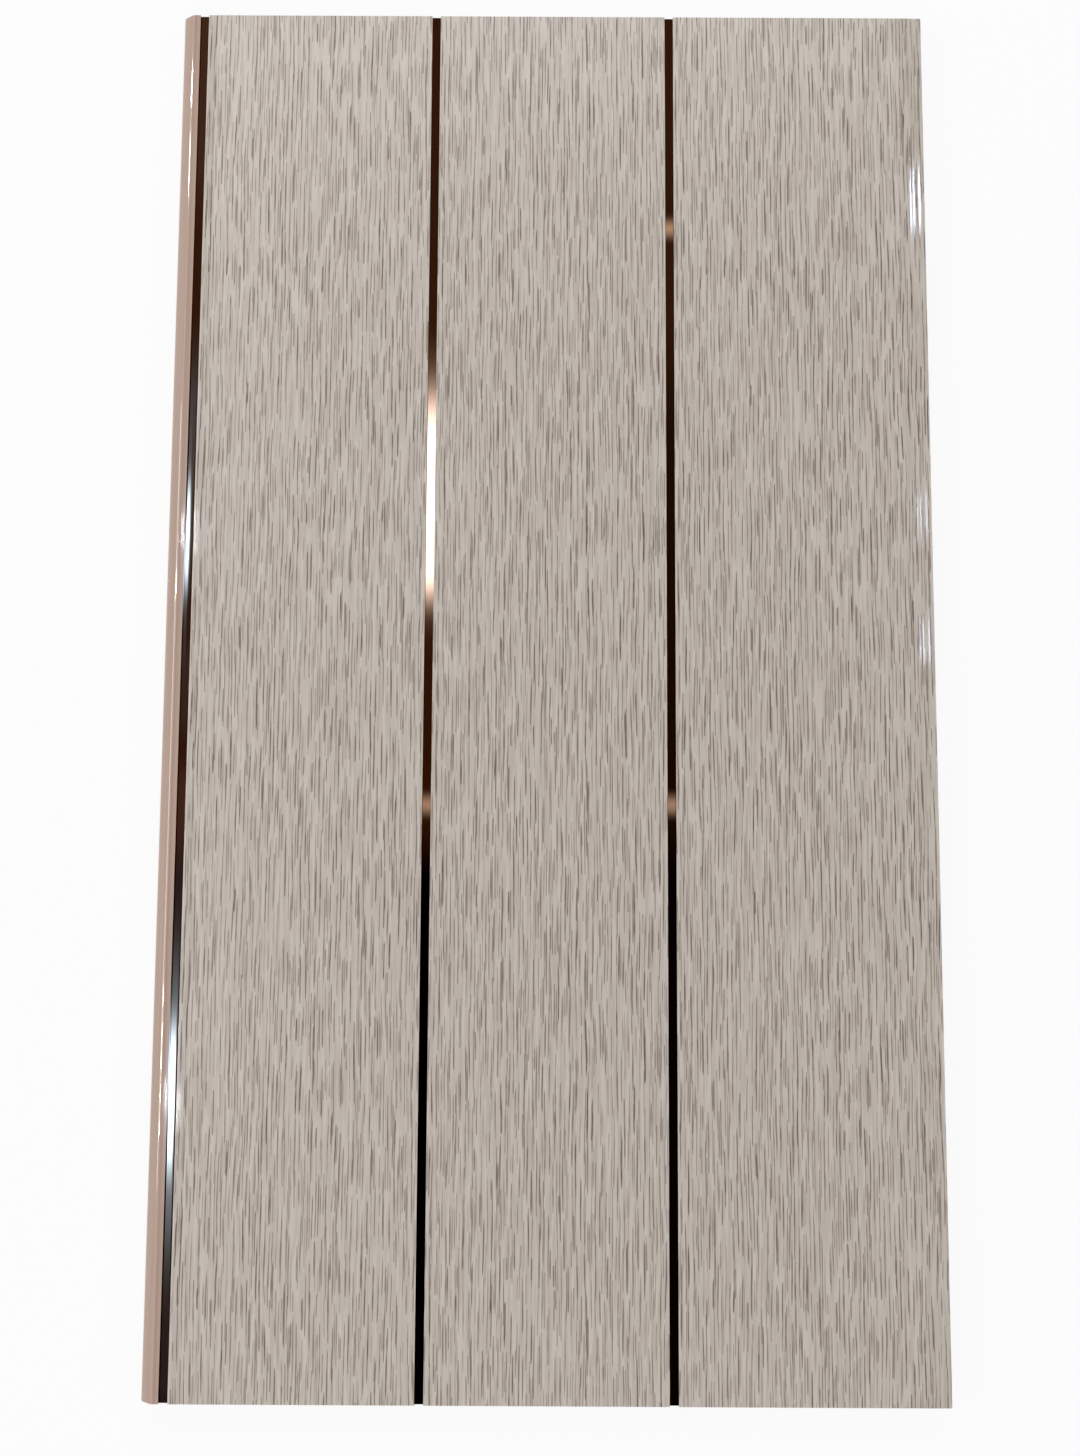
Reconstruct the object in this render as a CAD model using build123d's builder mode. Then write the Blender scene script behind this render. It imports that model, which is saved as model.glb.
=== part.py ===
from build123d import *
import os

# A cut length of tongue-and-slot ceiling panel: one hollow PVC extrusion lying on its back.
# X runs across the panel from the tongue to the slot, Y along the extrusion, and Z from the
# back, at zero, up to the printed face. All sizes are in millimetres.

# Overall sizes that don't follow from the section
length = 457.0
thickness = 8.0

# Printed face: like strips between the grooves, and a wider one out to the slot edge
strip_width = 76.8
edge_strip_width = 85.3
groove_count = 3
groove_width = 2.9
groove_depth = 0.8
groove_draft = 0.1
land_width = 2.4

# Walls of the extrusion, and how far apart its webs stand
face_skin = 0.9
back_skin = 0.7
web_thickness = 0.5
slot_wall = 0.8
cell_pitch = 10.3

# Tongue, and the slot that takes the tongue of the next panel
tongue_reach = 4.0
tongue_fall = 2.2
face_lip = 1.0
back_lip = 0.9
back_lip_setback = 0.5
joint_clearance = 0.1
nose_gap = 2.0

# Rounded edges
nose_radius = 2.5
nose_heel_radius = 1.2
land_radius = 1.6
groove_radius = 0.1
lip_butt = 0.1
back_radius = 0.3
inner_radius = 0.25

# Lines across the panel, from the tip of the tongue to the slot edge
groove_pitch = groove_width + strip_width
printed_width = groove_count * groove_pitch - strip_width + edge_strip_width
overall_width = tongue_reach + land_width + printed_width
tip_x = -overall_width / 2
joint_x = tip_x + tongue_reach
edge_x = overall_width / 2
groove_starts = [joint_x + land_width + number * groove_pitch for number in range(groove_count)]
slot_depth = tongue_reach + nose_gap
slot_root_x = edge_x - slot_depth

# Levels from the back up to the face
tongue_floor_z = back_lip + joint_clearance
nose_top_z = thickness - tongue_fall
slot_top_z = thickness - face_lip
groove_floor_z = thickness - groove_depth

with BuildPart() as ceiling_panel:
    with BuildSketch(Plane.XZ):
        # Outer shape of the section, each corner with its own rounding
        back_edge = [
            ((joint_x, tongue_floor_z), inner_radius),
            ((joint_x, 0), back_radius),
            ((edge_x - back_lip_setback, 0), back_radius),
        ]
        slot_edge = [
            ((edge_x - back_lip_setback, back_lip), back_radius),
            ((slot_root_x, back_lip), inner_radius),
            ((slot_root_x, slot_top_z), inner_radius),
            ((edge_x, slot_top_z), 0),
            ((edge_x, thickness), face_lip - lip_butt),
        ]
        face_edge = []
        for groove_x in reversed(groove_starts):
            face_edge += [
                ((groove_x + groove_width, thickness), groove_radius),
                ((groove_x + groove_width - groove_draft, groove_floor_z), 0),
                ((groove_x + groove_draft, groove_floor_z), 0),
                ((groove_x, thickness), groove_radius),
            ]
        tongue_edge = [
            ((joint_x, thickness), land_radius),
            ((tip_x, nose_top_z), nose_radius),
            ((tip_x, tongue_floor_z), nose_heel_radius),
        ]
        corners = back_edge + slot_edge + face_edge + tongue_edge
        with BuildLine():
            FilletPolyline(
                [point for point, radius in corners],
                radius=[radius for point, radius in corners],
                close=True,
            )
        make_face()

        # Hollow inside the tongue and the land, with an even skin under the slope
        cell_top = thickness - face_skin
        slope = tongue_fall / tongue_reach
        slope_skin = face_skin * (1 + slope**2) ** 0.5
        tongue_cell_left = tip_x + face_skin
        tongue_cell_right = groove_starts[0] - face_skin
        tongue_cell_floor = tongue_floor_z + back_skin
        tongue_cell_shoulder = nose_top_z + slope * face_skin - slope_skin
        tongue_cell_bend = joint_x + (slope_skin - face_skin) / slope
        tongue_cell = [
            ((tongue_cell_left, tongue_cell_floor), inner_radius),
            ((tongue_cell_right, tongue_cell_floor), inner_radius),
            ((tongue_cell_right, cell_top), inner_radius),
            ((tongue_cell_bend, cell_top), inner_radius),
            ((tongue_cell_left, tongue_cell_shoulder), nose_radius - face_skin),
        ]
        with BuildLine():
            FilletPolyline(
                [point for point, radius in tongue_cell],
                radius=[radius for point, radius in tongue_cell],
                close=True,
            )
        make_face(mode=Mode.SUBTRACT)

        # A narrow cell under each groove, between the two webs that carry the groove's sides
        groove_cell_width = groove_width + 2 * (face_skin - web_thickness)
        groove_cell_top = groove_floor_z - face_skin
        for groove_x in groove_starts:
            with Locations((groove_x + groove_width / 2, (back_skin + groove_cell_top) / 2)):
                RectangleRounded(
                    groove_cell_width,
                    groove_cell_top - back_skin,
                    inner_radius,
                    mode=Mode.SUBTRACT,
                )

        # A row of cells under each strip, divided by webs at about the cell pitch
        cell_middle_z = (back_skin + cell_top) / 2
        row_ends = [groove_x - face_skin for groove_x in groove_starts[1:]]
        row_ends.append(slot_root_x - slot_wall)
        for groove_x, row_end in zip(groove_starts, row_ends):
            row_start = groove_x + groove_width + face_skin
            row_width = row_end - row_start
            cell_count = round(row_width / cell_pitch)
            cell_step = (row_width + web_thickness) / cell_count
            with Locations(((row_start + row_end) / 2, cell_middle_z)):
                with GridLocations(cell_step, 1, cell_count, 1):
                    RectangleRounded(
                        cell_step - web_thickness,
                        cell_top - back_skin,
                        inner_radius,
                        mode=Mode.SUBTRACT,
                    )
    extrude(amount=length / 2, both=True)

ceiling_panel.part.label = "ceiling_panel"

os.makedirs("parts", exist_ok=True)
export_step(ceiling_panel.part, "parts/ceiling_panel.step")
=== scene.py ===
import math

import bmesh
import bpy
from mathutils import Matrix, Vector


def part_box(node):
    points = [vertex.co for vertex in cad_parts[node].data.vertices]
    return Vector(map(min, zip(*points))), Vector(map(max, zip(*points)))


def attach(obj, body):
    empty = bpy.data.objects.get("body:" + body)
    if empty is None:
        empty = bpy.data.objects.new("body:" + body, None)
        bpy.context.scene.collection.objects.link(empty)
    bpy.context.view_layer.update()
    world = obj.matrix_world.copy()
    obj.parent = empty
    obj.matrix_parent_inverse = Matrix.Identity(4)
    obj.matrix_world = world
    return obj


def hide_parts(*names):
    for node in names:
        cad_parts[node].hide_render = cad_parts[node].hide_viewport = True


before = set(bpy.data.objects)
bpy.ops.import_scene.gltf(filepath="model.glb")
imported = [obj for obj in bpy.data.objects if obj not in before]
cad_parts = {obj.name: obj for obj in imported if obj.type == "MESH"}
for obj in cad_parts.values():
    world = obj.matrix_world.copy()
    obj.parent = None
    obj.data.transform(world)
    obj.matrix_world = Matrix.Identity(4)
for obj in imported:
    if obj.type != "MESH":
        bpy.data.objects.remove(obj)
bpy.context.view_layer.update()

# Panel body: one hollow extrusion of rigid tan PVC, sawn square to a short length.
# The face and back skins are held apart by thin webs, with a hollow tongue along one
# edge and, along the other, a slot that takes the tongue of the next panel.
MM = 0.001
panel_low, panel_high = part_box("ceiling_panel")
length = (panel_high.y - panel_low.y) / MM
thickness = (panel_high.z - panel_low.z) / MM
tip_x = panel_low.x / MM
edge_x = panel_high.x / MM

groove_count = 3
groove_width = 2.9
groove_depth = 0.8
groove_draft = 0.115
strip_width = 76.8
land_width = 2.4
face_skin = 0.9
back_skin = 0.7
web_thickness = 0.5
slot_wall = 0.8
cell_pitch = 10.3
tongue_reach = 4.0
tongue_fall = 2.2
face_lip = 1.0
back_lip = 0.9
back_lip_setback = 0.5
joint_clearance = 0.1
nose_gap = 2.0

# The face sinks in two shallow waves towards the slot edge, where the skin drew in as it cooled.
# Each pair is a distance from the edge and the slope there. In between, the slope changes evenly.
wave_steps = 8
edge_slopes = ((6.97, 0.0), (4.5, 0.0227), (3.0, 0.0092), (2.6, 0.0103), (0.9, 0.0193))

# Rounded edges
land_radius = 1.6
nose_radius = 2.5
nose_heel_radius = 1.2
lip_radius = 0.8
arris_radius = 0.1
back_radius = 0.3
inner_radius = 0.25
outline_segments = 6
cell_segments = 3

joint_x = tip_x + tongue_reach
groove_pitch = groove_width + strip_width
groove_starts = [joint_x + land_width + number * groove_pitch for number in range(groove_count)]
slot_root_x = edge_x - tongue_reach - nose_gap
tongue_floor_z = back_lip + joint_clearance
nose_top_z = thickness - tongue_fall
slot_top_z = thickness - face_lip
groove_floor_z = thickness - groove_depth
cell_top_z = thickness - face_skin
slope = tongue_fall / tongue_reach
slope_skin = face_skin * math.hypot(1, slope)


def draw_loop(section, corners, segments):
    """Draws a closed outline on the near end and rounds each corner to its own radius."""
    verts = [section.verts.new((x, -length / 2, z)) for (x, z), radius in corners]
    for here, after in zip(verts, verts[1:] + verts[:1]):
        section.edges.new((here, after))
    offsets = []
    for number, (point, radius) in enumerate(corners):
        before = Vector(corners[number - 1][0]) - Vector(point)
        after = Vector(corners[(number + 1) % len(corners)][0]) - Vector(point)
        offsets.append(radius / math.tan(before.angle(after) / 2))
    for vert, offset in zip(verts, offsets):
        if offset > 0:
            bmesh.ops.bevel(
                section, geom=[vert], offset=offset, offset_type="OFFSET",
                segments=segments, profile=0.5, affect="VERTICES", material=-1,
            )


def cell(left, right, floor, top):
    """Corners of one hollow between two webs."""
    points = ((left, floor), (right, floor), (right, top), (left, top))
    return [(point, inner_radius) for point in points]


edge_wave = []
wave_z = thickness
for (start, first_slope), (end, last_slope) in zip(edge_slopes, edge_slopes[1:]):
    for step in range(wave_steps):
        share = step / wave_steps
        run = (start - end) * share
        fall = run * (first_slope + (last_slope - first_slope) * share / 2)
        edge_wave.append(((edge_x - start + run, wave_z - fall), 0))
    wave_z -= (start - end) * (first_slope + last_slope) / 2
edge_wave.append(((edge_x - end, wave_z), 0))
lip_top_z = wave_z - end * last_slope

outline = [
    ((joint_x, tongue_floor_z), inner_radius),
    ((joint_x, 0), back_radius),
    ((edge_x - back_lip_setback, 0), back_radius),
    ((edge_x - back_lip_setback, back_lip), back_radius),
    ((slot_root_x, back_lip), inner_radius),
    ((slot_root_x, slot_top_z), inner_radius),
    ((edge_x, slot_top_z), 0),
    ((edge_x, lip_top_z), lip_radius),
]
outline += reversed(edge_wave)
for groove_x in reversed(groove_starts):
    outline += [
        ((groove_x + groove_width, thickness), arris_radius),
        ((groove_x + groove_width - groove_draft, groove_floor_z), 0),
        ((groove_x + groove_draft, groove_floor_z), 0),
        ((groove_x, thickness), arris_radius),
    ]
outline += [
    ((joint_x, thickness), land_radius),
    ((tip_x, nose_top_z), nose_radius),
    ((tip_x, tongue_floor_z), nose_heel_radius),
]

tongue_cell = [
    ((tip_x + face_skin, tongue_floor_z + back_skin), inner_radius),
    ((groove_starts[0] - face_skin, tongue_floor_z + back_skin), inner_radius),
    ((groove_starts[0] - face_skin, cell_top_z), inner_radius),
    ((joint_x + (slope_skin - face_skin) / slope, cell_top_z), inner_radius),
    ((tip_x + face_skin, nose_top_z + slope * face_skin - slope_skin), nose_radius - face_skin),
]
hollows = [tongue_cell]
groove_cell_side = face_skin - web_thickness
row_ends = [groove_x - face_skin for groove_x in groove_starts[1:]] + [slot_root_x - slot_wall]
for groove_x, row_end in zip(groove_starts, row_ends):
    left = groove_x - groove_cell_side
    right = groove_x + groove_width + groove_cell_side
    hollows.append(cell(left, right, back_skin, groove_floor_z - face_skin))
    row_start = groove_x + groove_width + face_skin
    cell_count = round((row_end - row_start) / cell_pitch)
    cell_step = (row_end - row_start + web_thickness) / cell_count
    for number in range(cell_count):
        left = row_start + number * cell_step
        hollows.append(cell(left, left + cell_step - web_thickness, back_skin, cell_top_z))


def point_order(item):
    """A number made from the three lowest points of a face, or both points of an edge."""
    number = 0
    for index in (sorted(vert.index for vert in item.verts) + [0])[:3]:
        number = number * len(body.verts) + index
    return number


body = bmesh.new()
draw_loop(body, outline, outline_segments)
for hollow in hollows:
    draw_loop(body, hollow, cell_segments)
bmesh.ops.triangle_fill(
    body, use_beauty=True, use_dissolve=False, edges=body.edges[:], normal=(0, -1, 0)
)
drawn = bmesh.ops.extrude_face_region(body, geom=body.faces[:])
far_end = [item for item in drawn["geom"] if isinstance(item, bmesh.types.BMVert)]
bmesh.ops.translate(body, verts=far_end, vec=(0, length, 0))
bmesh.ops.recalc_face_normals(body, faces=body.faces[:])

# Extruding puts the new sides in no fixed order, so all is sorted to be the same on each run
body.verts.index_update()
body.edges.sort(key=point_order)
body.faces.sort(key=point_order)

# Each face of the extrusion takes the finish that lies on it
BARE, PRINTED, FOILED, SAWN = range(4)
level_margin = 0.05
least_rise = 0.05
least_end_facing = 0.5
for face in body.faces:
    face.smooth = True
    middle = face.calc_center_median()
    on_top = middle.z > groove_floor_z - level_margin
    faces_up = on_top and face.normal.z > least_rise
    between_strips = any(start < middle.x < start + groove_width for start in groove_starts)
    in_groove = between_strips and middle.z < thickness - arris_radius
    if abs(face.normal.y) > least_end_facing:
        face.material_index = SAWN
    elif faces_up and in_groove:
        face.material_index = FOILED
    elif faces_up and middle.x > groove_starts[0] + groove_width / 2:
        face.material_index = PRINTED
    else:
        face.material_index = BARE
bmesh.ops.scale(body, vec=(MM, MM, MM), verts=body.verts[:])

sharp_angle = math.radians(35)
panel_mesh = bpy.data.meshes.new("panel_body")
body.to_mesh(panel_mesh)
body.free()
panel_mesh.set_sharp_from_angle(angle=sharp_angle)
panel = bpy.data.objects.new("panel_body", panel_mesh)
bpy.context.scene.collection.objects.link(panel)
flat_faces = panel.modifiers.new("flat_faces", "WEIGHTED_NORMAL")
flat_faces.keep_sharp = True


def add_node(tree, kind, inputs=None, **settings):
    """Adds a shader node with its settings, and sets or links each of the inputs given."""
    node = tree.nodes.new(kind)
    for name, value in settings.items():
        setattr(node, name, value)
    for name, value in (inputs or {}).items():
        if isinstance(value, bpy.types.NodeSocket):
            tree.links.new(value, node.inputs[name])
        else:
            node.inputs[name].default_value = value
    return node


def calculate(tree, operation, *values):
    """Adds a Math node on numbers or sockets and gives its result."""
    return add_node(tree, "ShaderNodeMath", dict(enumerate(values)), operation=operation).outputs[0]


def fade(tree, value, start, end):
    """A smooth change from zero to one as the value goes from start to end."""
    inputs = {"Value": value, "From Min": start, "From Max": end}
    return add_node(tree, "ShaderNodeMapRange", inputs, interpolation_type="SMOOTHSTEP").outputs[0]


def noise(tree, vector, scale, detail):
    """A noise value at a vector that is first scaled along each axis."""
    scaled = add_node(tree, "ShaderNodeMapping", {"Vector": vector, "Scale": scale}).outputs[0]
    inputs = {"Vector": scaled, "Scale": 1.0, "Detail": detail}
    return add_node(tree, "ShaderNodeTexNoise", inputs).outputs["Fac"]


FIRST_COLOUR = 6
SECOND_COLOUR = 7
MIXED_COLOUR = 2


def blend_colours(tree, factor, first, second):
    """Mixes two colours, each a socket or a screen colour from 0 to 255."""
    node = add_node(tree, "ShaderNodeMix", {0: factor}, data_type="RGBA")
    for place, colour in ((FIRST_COLOUR, first), (SECOND_COLOUR, second)):
        if isinstance(colour, bpy.types.NodeSocket):
            tree.links.new(colour, node.inputs[place])
        else:
            node.inputs[place].default_value = [level / 255 for level in colour] + [1.0]
    return node.outputs[MIXED_COLOUR]


def tinge(tree, tint, mask, share, colour):
    """Moves a tint part of the way to another colour where the mask is full."""
    return blend_colours(tree, calculate(tree, "MULTIPLY", mask, share), tint, colour)


SCREEN_GAMMA = 2.2


def paint(tree, shader, colour):
    """Turns a mixed screen colour into light values for the shader's base colour."""
    gamma = add_node(tree, "ShaderNodeGamma", {"Color": colour, "Gamma": SCREEN_GAMMA})
    tree.links.new(gamma.outputs[0], shader.inputs["Base Color"])


def emboss(tree, shader, height, distance):
    """Raises and sinks the surface by a height map, over a distance in metres."""
    inputs = {"Height": height, "Strength": 1.0, "Distance": distance}
    bump = add_node(tree, "ShaderNodeBump", inputs)
    tree.links.new(bump.outputs[0], shader.inputs["Normal"])


def new_material(name, roughness):
    """A material with an empty tree, a Principled shader, and the object's place in millimetres."""
    material = bpy.data.materials.new(name)
    material.use_nodes = True
    tree = material.node_tree
    tree.nodes.clear()
    shader = add_node(tree, "ShaderNodeBsdfPrincipled", {"Roughness": roughness})
    add_node(tree, "ShaderNodeOutputMaterial", {"Surface": shader.outputs["BSDF"]})
    coordinates = add_node(tree, "ShaderNodeTexCoord").outputs["Object"]
    scale = (1 / MM, 1 / MM, 1 / MM)
    place = add_node(tree, "ShaderNodeMapping", {"Vector": coordinates, "Scale": scale}).outputs[0]
    return material, tree, shader, place


# Bare PVC has fine lines from the die and is paler by the groove; its arris and nose carry painted
# light
die_line_height = 0.000002
arris_x = joint_x + 0.2
bare_pvc, tree, shader, place = new_material("bare_pvc", 0.045)
across = add_node(tree, "ShaderNodeSeparateXYZ", {"Vector": place}).outputs["X"]
die_lines = noise(tree, place, (2.4, 0.006, 2.4), 3.0)
tint = blend_colours(tree, die_lines, (163, 135, 121), (193, 169, 155))
# Painted light: the tongue's slope is paler towards the nose as a painted sheen, and darker by the
# arris as painted shade
painted_nose_sheen = fade(tree, across, joint_x - 1.0, tip_x + 0.6)
tint = tinge(tree, tint, painted_nose_sheen, 0.65, (184, 158, 143))
by_groove = fade(tree, across, joint_x + 0.8, joint_x + land_width)
tint = tinge(tree, tint, by_groove, 0.4, (205, 186, 174))
# Painted highlight: a pale line along the arris, laid over the real glints its rounding catches
# from the lamps
from_arris = calculate(tree, "ABSOLUTE", calculate(tree, "SUBTRACT", across, arris_x))
painted_arris_highlight = fade(tree, from_arris, 0.4, 0.15)
tint = tinge(tree, tint, painted_arris_highlight, 0.45, (214, 196, 185))
paint(tree, shader, tint)
emboss(tree, shader, die_lines, die_line_height)

# Sawn PVC is dull and scored
saw_mark_height = 0.00006
sawn_pvc, tree, shader, place = new_material("sawn_pvc", 0.6)
saw_marks = noise(tree, place, (0.9, 0.9, 4.0), 4.0)
paint(tree, shader, blend_colours(tree, saw_marks, (184, 160, 146), (214, 194, 181)))
emboss(tree, shader, saw_marks, saw_mark_height)

# Printed strips: a satin wood-look print on the face skin, warm grey with darker pores.
# It is rolled on, so it comes round again along and across the panel, and it wraps over
# the rounded slot edge. A clear lacquer lies over it and is glossiest on the edges.
print_repeat = 168.0
satin_roughness = 0.36
edge_polish = 0.325
film_grain_height = 0.00000015
drift_width = 1.6
jog_width = 0.16
pale_start = 0.7
pale_full = 0.2
edge_margin = 30.0


def pore_group():
    """One layer of printed pores: dashes of uneven length in columns along the panel."""
    group = bpy.data.node_groups.new("printed_pores", "ShaderNodeTree")
    group.interface.new_socket("Vector", in_out="INPUT", socket_type="NodeSocketVector")
    for name in (
        "Columns", "Rows", "Seed", "Density", "Clusters", "Half Width", "Softness",
        "Shortest", "Fade", "Faintest",
    ):
        group.interface.new_socket(name, in_out="INPUT", socket_type="NodeSocketFloat")
    group.interface.new_socket("Mask", in_out="OUTPUT", socket_type="NodeSocketFloat")
    given = add_node(group, "NodeGroupInput").outputs
    place = add_node(group, "ShaderNodeSeparateXYZ", {"Vector": given["Vector"]}).outputs

    def do(operation, *values):
        return calculate(group, operation, *values)

    def random_colour(x, y, z):
        key = add_node(group, "ShaderNodeCombineXYZ", {"X": x, "Y": y, "Z": z}).outputs[0]
        white = add_node(group, "ShaderNodeTexWhiteNoise", {"Vector": key}, noise_dimensions="3D")
        return add_node(group, "ShaderNodeSeparateColor", {"Color": white.outputs["Color"]}).outputs

    def soft_noise(x, y, z):
        key = add_node(group, "ShaderNodeCombineXYZ", {"X": x, "Y": y, "Z": z}).outputs[0]
        inputs = {"Vector": key, "Scale": 1.0, "Detail": 0.0}
        return add_node(group, "ShaderNodeTexNoise", inputs).outputs["Fac"]

    column_width = do("DIVIDE", print_repeat, given["Columns"])
    column_at = do("DIVIDE", place["X"], column_width)
    column = do("FLOOR", column_at)
    across = do("MULTIPLY", do("SUBTRACT", column_at, column), column_width)
    column = do("FLOORED_MODULO", column, given["Columns"])
    shift = random_colour(column, given["Seed"], 0.5)["Red"]

    row_length = do("DIVIDE", print_repeat, given["Rows"])
    row_at = do("ADD", do("DIVIDE", place["Y"], row_length), shift)
    row = do("FLOOR", row_at)
    along = do("SUBTRACT", row_at, row)
    row = do("FLOORED_MODULO", row, given["Rows"])
    first = random_colour(column, row, given["Seed"])
    second = random_colour(column, row, do("ADD", given["Seed"], 0.5))

    cluster_width = 6.0
    cluster_length = 14.0
    cluster = soft_noise(
        do("DIVIDE", do("MULTIPLY", column, column_width), cluster_width),
        do("DIVIDE", do("MULTIPLY", do("SUBTRACT", row, shift), row_length), cluster_length),
        given["Seed"],
    )
    chance = do("MULTIPLY_ADD", do("SUBTRACT", cluster, 0.5), given["Clusters"], given["Density"])
    present = do("LESS_THAN", first["Red"], chance)

    spare = do("SUBTRACT", 1.0, given["Shortest"])
    share = do("MULTIPLY_ADD", spare, first["Green"], given["Shortest"])
    room = do("SUBTRACT", 0.5, do("MULTIPLY", share, 0.5))
    middle = do("MULTIPLY_ADD", room, do("MULTIPLY_ADD", first["Blue"], 2.0, -1.0), 0.5)
    from_middle = do("ABSOLUTE", do("SUBTRACT", along, middle))
    reach = do("DIVIDE", from_middle, do("MULTIPLY", share, 0.5))
    ends = fade(group, reach, 1.0, do("SUBTRACT", 1.0, given["Fade"]))

    end_taper = 0.35
    thinnest = 0.5
    centre = do("MULTIPLY", column_width, do("MULTIPLY_ADD", second["Red"], 0.5, 0.25))
    swell = do("MULTIPLY_ADD", do("MULTIPLY", reach, reach), -end_taper, 1.0)
    thinning = do("MULTIPLY_ADD", second["Green"], thinnest - 1.0, 1.0)
    half_width = do("MULTIPLY", given["Half Width"], do("MULTIPLY", swell, thinning))
    inside = do("SUBTRACT", half_width, do("ABSOLUTE", do("SUBTRACT", across, centre)))
    sides = fade(group, inside, do("MULTIPLY", given["Softness"], -1.0), given["Softness"])

    faint_bias = 1.4
    blotch_length = 5.0
    blotch_shift = 3.7
    blotch_least = 0.2
    blotch_range = 1.6
    depth = do("POWER", second["Blue"], faint_bias)
    ink = do("MULTIPLY_ADD", do("SUBTRACT", 1.0, given["Faintest"]), depth, given["Faintest"])
    blotch_row = do("DIVIDE", place["Y"], blotch_length)
    blotch = soft_noise(do("MULTIPLY", column, blotch_shift), blotch_row, given["Seed"])
    ink = do("MULTIPLY", ink, do("MULTIPLY_ADD", blotch, blotch_range, blotch_least))
    dash = do("MULTIPLY", do("MULTIPLY", present, ends), sides)
    mask = do("MULTIPLY", dash, do("MINIMUM", ink, 1.0))
    add_node(group, "NodeGroupOutput", {"Mask": mask})
    return group


wood_print, tree, shader, place = new_material("wood_print", satin_roughness)
printed_pores = pore_group()
drift = noise(tree, place, (0.06, 0.025, 0), 1.0)
drift = calculate(tree, "MULTIPLY_ADD", drift, drift_width, -drift_width / 2)
jog = noise(tree, place, (0.8, 0.14, 0), 0.0)
jog = calculate(tree, "MULTIPLY_ADD", jog, jog_width, -jog_width / 2)
sway = add_node(tree, "ShaderNodeCombineXYZ", {"X": calculate(tree, "ADD", drift, jog)}).outputs[0]
grain = add_node(tree, "ShaderNodeVectorMath", {0: place, 1: sway}, operation="ADD").outputs[0]


def pores(ink, **settings):
    """Places one layer of pores in the print, with its strength of ink."""
    inputs = {"Vector": grain}
    inputs.update({name.replace("_", " ").title(): value for name, value in settings.items()})
    layer = add_node(tree, "ShaderNodeGroup", inputs, node_tree=printed_pores)
    return calculate(tree, "MULTIPLY", layer.outputs["Mask"], ink)


long_pores = pores(
    0.61, columns=132, rows=6, seed=3, density=0.92, clusters=0.6, half_width=0.24,
    softness=0.06, shortest=0.3, fade=0.12, faintest=0.5,
)
dark_pores = pores(
    0.78, columns=62, rows=8, seed=11, density=0.85, clusters=0.4, half_width=0.25,
    softness=0.08, shortest=0.35, fade=0.3, faintest=0.25,
)
short_pores = pores(
    0.50, columns=100, rows=9, seed=23, density=0.9, clusters=0.6, half_width=0.24,
    softness=0.06, shortest=0.3, fade=0.12, faintest=0.5,
)
bare_share = 1.0
for layer in (long_pores, dark_pores, short_pores):
    bare_share = calculate(tree, "MULTIPLY", bare_share, calculate(tree, "SUBTRACT", 1.0, layer))

film = fade(tree, noise(tree, grain, (1.0, 0.05, 0), 1.0), 0.3, 0.7)
ground = blend_colours(tree, film, (190, 180, 171), (205, 197, 188))
tint = blend_colours(tree, bare_share, (86, 73, 63), ground)
across = add_node(tree, "ShaderNodeSeparateXYZ", {"Vector": place}).outputs["X"]
first_groove_middle = groove_starts[0] + groove_width / 2
from_first = calculate(tree, "SUBTRACT", across, first_groove_middle)
from_groove = calculate(tree, "PINGPONG", from_first, groove_pitch / 2)
from_side = calculate(tree, "SUBTRACT", from_groove, groove_width / 2)
beside_groove = fade(tree, from_side, pale_start, pale_full)
inner_strips = calculate(tree, "LESS_THAN", across, edge_x - edge_margin)
at_first_groove = calculate(tree, "LESS_THAN", from_first, groove_pitch / 2)
pale_share = calculate(tree, "MULTIPLY_ADD", at_first_groove, 0.5, 0.15)
# The print is paler in a narrow band beside each groove, and most beside the first
paler_beside_grooves = calculate(tree, "MULTIPLY", beside_groove, inner_strips)
tint = tinge(tree, tint, paler_beside_grooves, pale_share, (224, 215, 208))
paint(tree, shader, tint)

by_slot_edge = fade(tree, across, edge_x - 10.0, edge_x - 5.0)
by_first_groove = fade(tree, across, groove_starts[0] + 7.0, groove_starts[0] + 4.0)
lacquer = calculate(tree, "MAXIMUM", by_slot_edge, by_first_groove)
gloss = calculate(tree, "MULTIPLY_ADD", lacquer, -edge_polish, satin_roughness)
tree.links.new(gloss, shader.inputs["Roughness"])
emboss(tree, shader, noise(tree, place, (4.0, 0.4, 0), 1.0), film_grain_height)

# Groove foil: bronze mirror foil, hot-stamped into the floor and sides of the three grooves.
# It is bright and smooth, with the faint lengthwise lines of the stamping roller.
bronze_foil, tree, shader, place = new_material("bronze_foil", 0.0)
roller_lines = noise(tree, place, (5.0, 0.01, 5.0), 2.0)
paint(tree, shader, blend_colours(tree, roller_lines, (222, 174, 138), (238, 190, 154)))
shader.inputs["Metallic"].default_value = 1.0

for finish in (bare_pvc, wood_print, bronze_foil, sawn_pvc):
    panel_mesh.materials.append(finish)
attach(panel, "root")
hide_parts("ceiling_panel")

# Floor: a plain white sheet that the panel lies on, and that keeps its shadow.
# Where it is seen, directly or in a reflection, it is nearly as bright as the white backdrop.
floor_size = 4.0
floor_grey = 0.85
white_share = 0.9
sheet = bmesh.new()
bmesh.ops.create_grid(sheet, x_segments=1, y_segments=1, size=floor_size / 2)
floor_mesh = bpy.data.meshes.new("floor")
sheet.to_mesh(floor_mesh)
sheet.free()
floor = bpy.data.objects.new("floor", floor_mesh)
bpy.context.scene.collection.objects.link(floor)


def seen_directly(tree):
    """One for rays from the camera, from a mirror or through glass, and zero for other rays."""
    path = add_node(tree, "ShaderNodeLightPath").outputs
    seen = calculate(tree, "MAXIMUM", path["Is Camera Ray"], path["Is Glossy Ray"])
    return calculate(tree, "MAXIMUM", seen, path["Is Transmission Ray"])


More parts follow.
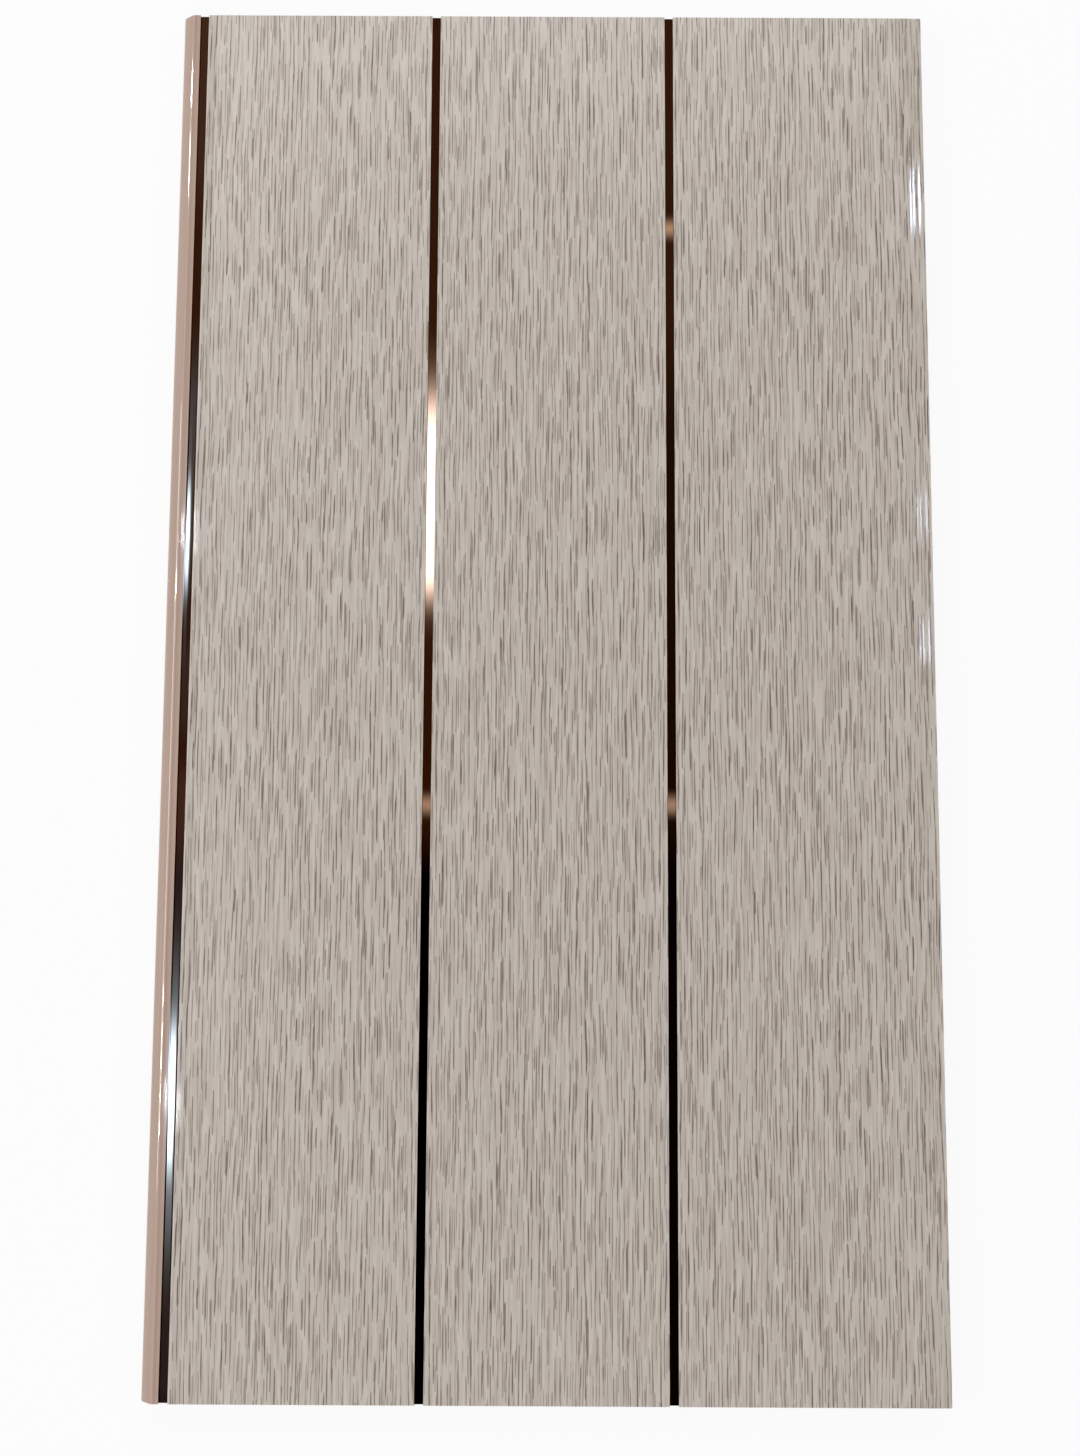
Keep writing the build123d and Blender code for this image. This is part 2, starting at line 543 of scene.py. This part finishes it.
white_floor, tree, shader, place = new_material("white_floor", 0.9)
shader.inputs["Base Color"].default_value = (floor_grey, floor_grey, floor_grey, 1.0)
white = add_node(tree, "ShaderNodeEmission", {"Strength": 1.0})
whiteness = calculate(tree, "MULTIPLY", seen_directly(tree), white_share)
shown = {0: whiteness, 1: shader.outputs[0], 2: white.outputs[0]}
mixed = add_node(tree, "ShaderNodeMixShader", shown)
surface = [node for node in tree.nodes if node.bl_idname == "ShaderNodeOutputMaterial"][0]
tree.links.new(mixed.outputs[0], surface.inputs["Surface"])
floor_mesh.materials.append(white_floor)

# Light: soft boxes low on the four sides, a white backdrop all round, a dim warm light from above
# that is brighter towards the far end, and small bare lamps that show only as glints.
world = bpy.data.worlds.new("surroundings")
bpy.context.scene.world = world
world.use_nodes = True
tree = world.node_tree
direction = add_node(tree, "ShaderNodeTexCoord").outputs["Generated"]
way = add_node(tree, "ShaderNodeSeparateXYZ", {"Vector": direction}).outputs
far_side = way["Y"]
glow = fade(tree, far_side, -0.06, 0.0)
above = blend_colours(tree, glow, (0.1, 0.03, 0.02), (8.0, 3.0, 0.8))
above = blend_colours(tree, fade(tree, far_side, 0.02, 0.3), above, (9.0, 4.8, 2.6))
right_side = fade(tree, way["X"], -0.02, 0.1)
dim_patch = calculate(tree, "MULTIPLY", right_side, fade(tree, far_side, 0.45, 0.3))
above = tinge(tree, above, dim_patch, 0.7, (0.8, 0.5, 0.4))
backdrop = calculate(tree, "MULTIPLY", seen_directly(tree), fade(tree, way["Z"], 0.6, 0.4))
light = blend_colours(tree, backdrop, above, (255, 255, 255))
tree.links.new(light, tree.nodes["Background"].inputs["Color"])

box_width = 1.4
box_height = 0.6
box_level = 0.95
box_distance = 1.5


def soft_box(name, x, y, power):
    """A large soft lamp low to one side, aimed at the panel."""
    lamp_data = bpy.data.lights.new(name, "AREA")
    lamp_data.shape = "RECTANGLE"
    lamp_data.size = box_width
    lamp_data.size_y = box_height
    lamp_data.energy = power
    lamp = bpy.data.objects.new(name, lamp_data)
    lamp.location = (x, y, box_level)
    lamp.rotation_euler = (-lamp.location).to_track_quat("-Z", "Y").to_euler()
    bpy.context.scene.collection.objects.link(lamp)


soft_box("left_box", -box_distance, 0, 17.4)
soft_box("right_box", box_distance, 0, 10.8)
soft_box("far_box", 0, box_distance, 16.7)
soft_box("near_box", 0, -box_distance, 11.8)

lamp_level = 1.0 + thickness * MM
NEUTRAL = (1.0, 1.0, 1.0)
WARM = (1.0, 0.86, 0.66)
DAYLIGHT = (0.67, 0.78, 1.0)
COOL = (0.30, 0.58, 1.0)
BLUE = (0.10, 0.32, 1.0)
HAZE = (0.8, 0.72, 1.0)


def bare_lamp(name, left_x, right_x, *glows, tilt=0.0):
    """A lamp a metre above the face, seen only in reflections, with glows that dim to their ends.

    A glow is its near and far end along the panel, the length of its fade at each of them,
    its brightness and its colour.
    """
    near_y = min(glow[0] for glow in glows)
    far_y = max(glow[1] for glow in glows)
    lamp_data = bpy.data.lights.new(name, "AREA")
    lamp_data.shape = "RECTANGLE"
    lamp_data.size = right_x - left_x
    lamp_data.size_y = far_y - near_y
    lamp_data.energy = math.pi * lamp_data.size * lamp_data.size_y
    lamp_data.use_nodes = True
    lamp_tree = lamp_data.node_tree
    spot = add_node(lamp_tree, "ShaderNodeNewGeometry").outputs["Parametric"]
    share = add_node(lamp_tree, "ShaderNodeSeparateXYZ", {"Vector": spot}).outputs["Y"]
    along = calculate(lamp_tree, "MULTIPLY_ADD", share, lamp_data.size_y, near_y)
    light = (0, 0, 0)
    for start, end, near_fade, far_fade, brightness, colour in glows:
        rise = fade(lamp_tree, along, start, start + near_fade)
        fall = fade(lamp_tree, along, end, end - far_fade)
        both = calculate(lamp_tree, "MULTIPLY", rise, fall)
        strength = calculate(lamp_tree, "POWER", both, 2.0)
        strength = calculate(lamp_tree, "MULTIPLY", strength, brightness)
        inputs = {0: colour, "Scale": strength}
        glow = add_node(lamp_tree, "ShaderNodeVectorMath", inputs, operation="SCALE").outputs[0]
        inputs = {0: light, 1: glow}
        light = add_node(lamp_tree, "ShaderNodeVectorMath", inputs, operation="ADD").outputs[0]
    lamp_tree.links.new(light, lamp_tree.nodes["Emission"].inputs["Color"])
    lamp = bpy.data.objects.new(name, lamp_data)
    lamp.location = ((left_x + right_x) / 2, (near_y + far_y) / 2, lamp_level)
    lamp.rotation_euler = (0, tilt, 0)
    lamp.visible_diffuse = False
    bpy.context.scene.collection.objects.link(lamp)


# First groove: a far and a near spark that fade along and across the groove, over a faint haze
far_range = (0.19, 0.42, 0.115, 0.115)
near_range = (-0.53, -0.25, 0.14, 0.15)
far_spark = far_range + (9.0, COOL)
far_fringe = far_range + (2.0, COOL)
far_glow = (0.065, 0.545, 0.24, 0.24, 0.4, COOL)
faint_glow = (0.20, 0.57, 0.1, 0.1, 0.09, COOL)
near_spark = near_range + (14.0, COOL)
near_fringe = near_range + (3.0, COOL)
near_glow = (-0.70, -0.10, 0.30, 0.30, 1.2, COOL)
hazes = (
    (-0.82, 0.06, 0.1, 0.08, 0.034, HAZE),
    (0.0, 0.20, 0.08, 0.06, 0.035, COOL),
    (0.10, 0.62, 0.2, 0.1, 0.04, COOL),
    (0.62, 1.08, 0.2, 0.05, 0.022, NEUTRAL),
)
both_glows = (faint_glow, near_glow) + hazes
bare_lamp("left_lamp", -0.4530, -0.4484, far_spark, far_glow, near_spark, *both_glows)
bare_lamp("left_lamp_side", -0.4484, -0.4470, far_fringe, near_spark, *both_glows)
bare_lamp("left_lamp_edge", -0.4470, -0.4459, near_spark, *both_glows)
bare_lamp("left_lamp_fringe", -0.4459, -0.4447, near_fringe, *both_glows)
bare_lamp("left_haze", -0.4447, -0.4405, *hazes)
bare_lamp("wall_lamp", 0.570, 0.600, far_range + (12.0, BLUE), near_range + (16.0, BLUE))

# Second groove: one long spark in a faint glow
middle_spark = (0.183, 0.553, 0.095, 0.147, 5.0, DAYLIGHT)
middle_glow = (0.15, 0.60, 0.07, 0.09, 0.09, NEUTRAL)
bare_lamp("middle_lamp", -0.158, -0.130, middle_spark, middle_glow)

# Round spots in the second and third groove
bare_lamp("middle_spot", -0.158, -0.130, (-0.060, -0.010, 0.025, 0.025, 0.4, NEUTRAL))
bare_lamp("right_spot", 0.147, 0.175, (-0.059, -0.009, 0.025, 0.025, 0.4, NEUTRAL))
bare_lamp("far_spot", 0.147, 0.175, (0.685, 0.735, 0.025, 0.025, 0.45, NEUTRAL))

# Glints on both sides of the first groove, on the slot edge and on the arris of the tongue
far_land_glint = (0.275, 0.345, 0.025, 0.025, 80.0, NEUTRAL)
near_land_glint = (-0.42, -0.355, 0.025, 0.025, 50.0, NEUTRAL)
bare_lamp("land_glint", -0.4565, -0.4530, far_land_glint, near_land_glint)
bare_lamp("strip_glint", -0.4405, -0.4390, (0.27, 0.35, 0.02, 0.02, 40.0, NEUTRAL))
bare_lamp("near_strip_glint", -0.4405, -0.4390, (-0.44, -0.37, 0.02, 0.02, 40.0, NEUTRAL))
edge_glints = (
    (0.13, 0.22, 0.03, 0.03, 24.0, DAYLIGHT),
    (0.285, 0.385, 0.04, 0.03, 18.0, DAYLIGHT),
    (0.69, 0.82, 0.045, 0.045, 60.0, DAYLIGHT),
)
bare_lamp("edge_glint", 0.513, 0.519, *edge_glints)
arris_tilt = math.radians(-42.5)
arris_fade = 0.006
arris_glints = (
    (-0.526, -0.495, 120.0, WARM), (-0.470, -0.443, 150.0, WARM), (-0.425, -0.398, 150.0, WARM),
    (-0.385, -0.358, 150.0, WARM), (-0.334, -0.307, 120.0, WARM), (0.280, 0.324, 200.0, NEUTRAL),
    (0.914, 1.023, 80.0, NEUTRAL), (1.060, 1.137, 200.0, NEUTRAL),
)
for number, (near_y, far_y, brightness, colour) in enumerate(arris_glints):
    dash = (near_y, far_y, arris_fade, arris_fade, brightness, colour)
    bare_lamp(f"arris_glint_{number}", -1.14, -0.94, dash, tilt=arris_tilt)

# Camera: held above the panel and tipped a little towards its far end. The place, the angles
# and the focal length in pixels were fitted to edges measured in the photo.
image_height = 1456
focal_length = 1090
camera_place = (-0.00255, -0.04429, 0.36261)
camera_angles = (4.446, 0.004, 0.295)
camera_data = bpy.data.cameras.new("camera")
camera_data.sensor_width = 36
camera_data.lens = focal_length / image_height * camera_data.sensor_width
camera = bpy.data.objects.new("camera", camera_data)
camera.location = camera_place
camera.rotation_euler = [math.radians(angle) for angle in camera_angles]
bpy.context.scene.collection.objects.link(camera)
bpy.context.scene.camera = camera
bpy.context.scene.view_settings.view_transform = "Standard"
